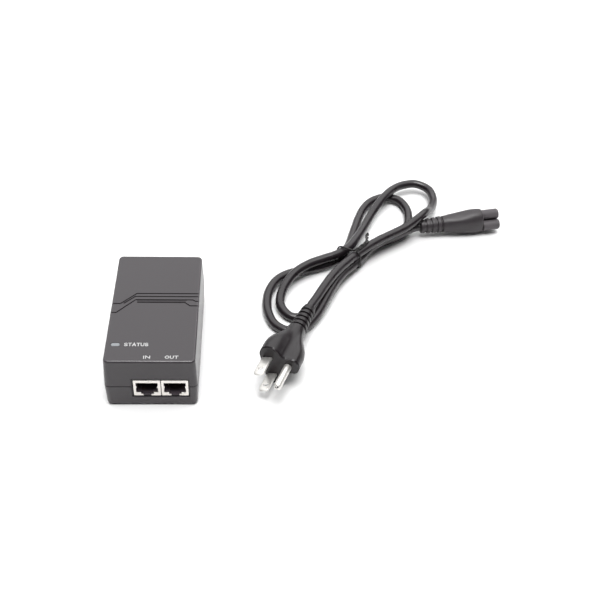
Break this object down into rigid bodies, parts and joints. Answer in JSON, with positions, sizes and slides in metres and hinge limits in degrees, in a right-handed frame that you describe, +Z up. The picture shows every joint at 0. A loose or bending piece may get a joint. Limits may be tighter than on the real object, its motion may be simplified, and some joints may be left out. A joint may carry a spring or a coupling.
{
  "type": "poe injector",
  "caption": "Desktop power-over-Ethernet injector: two-shell brick with data and powered network sockets, rear mains inlet, status light, board inside, and a tied-up mains lead.",
  "frame": {"origin": "centre of the brick at floor height, on the plane of its rubber feet", "axes": "+Y along the brick towards the mains inlet, so the network sockets face -Y; +Z up out of the lid; +X to the right seen from the sockets, towards the lead lying beside the brick"},
  "size_m": [0.2651, 0.2239, 0.036],
  "materials": {
    "case_plastic": "fine spark-eroded texture",
    "clear_plastic": "frosted",
    "led_epoxy": "clear-tinted",
    "rubber_black": "matt",
    "screw_steel": "zinc plated",
    "pcb_laminate": "solder mask",
    "insulation_paper": "matt",
    "shield_nickel": "bright nickel plate",
    "socket_plastic": "fine matt",
    "contact_gold": "gold flash",
    "pin_nickel": "nickel plate",
    "ceramic_body": "matt",
    "capacitor_sleeve": "shrink sleeve",
    "film_capacitor": "yellow plastic case and tape",
    "epoxy_package": "moulded epoxy",
    "ferrite": "sintered",
    "copper_winding": "enamelled copper",
    "heatsink_aluminium": "mill finish",
    "cord_pvc": "satin flexible PVC",
    "overmould_pvc": "satin moulded PVC",
    "connector_plastic": "satin moulded PVC",
    "blade_nickel": "bright nickel plate",
    "tie_pvc": "coated wire"
  },
  "bodies": {
    "brick": {"top_cover": "case_plastic", "bottom_cover": "case_plastic", "light_pipe": "clear_plastic", "power_led": "led_epoxy", "main_pcb": "pcb_laminate", "insulation_sheet": "insulation_paper", "inlet_housing": "socket_plastic", "inlet_pin_line": "pin_nickel", "inlet_pin_neutral": "pin_nickel", "inlet_pin_earth": "pin_nickel", "fuse": "ceramic_body", "inrush_thermistor": "epoxy_package", "x_capacitor": "film_capacitor", "common_mode_choke": "copper_winding", "bridge_rectifier": "epoxy_package", "bulk_capacitor": "capacitor_sleeve", "output_capacitor_1": "capacitor_sleeve", "output_capacitor_2": "capacitor_sleeve", "transformer_core": "ferrite", "transformer_winding": "film_capacitor", "primary_heatsink": "heatsink_aluminium", "switching_transistor": "epoxy_package", "output_heatsink": "heatsink_aluminium", "output_diode": "epoxy_package", "output_inductor": "ferrite", "y_capacitor": "ceramic_body", "optocoupler": "epoxy_package", "controller_chip": "epoxy_package", "data_magnetics": "epoxy_package", "foot_front_left": "rubber_black", "case_screw_front_left": "screw_steel", "foot_front_right": "rubber_black", "case_screw_front_right": "screw_steel", "foot_rear_left": "rubber_black", "case_screw_rear_left": "screw_steel", "foot_rear_right": "rubber_black", "case_screw_rear_right": "screw_steel", "lan_jack_shield": "shield_nickel", "lan_jack_housing": "socket_plastic", "lan_jack_contacts": "contact_gold", "poe_jack_shield": "shield_nickel", "poe_jack_housing": "socket_plastic", "poe_jack_contacts": "contact_gold"},
    "power_lead": {"power_cord": "cord_pvc", "connector_overmould": "connector_plastic", "connector_nose": "connector_plastic", "plug_overmould": "overmould_pvc", "plug_blade_line": "blade_nickel", "plug_blade_neutral": "blade_nickel", "plug_ground_pin": "blade_nickel", "twist_tie": "tie_pvc"}
  },
  "joints": [
    {"name": "lead_lift", "type": "slide", "parent": "brick", "child": "power_lead", "axis": [0, 0, 1], "range_m": [0, 0.15]}
  ]
}
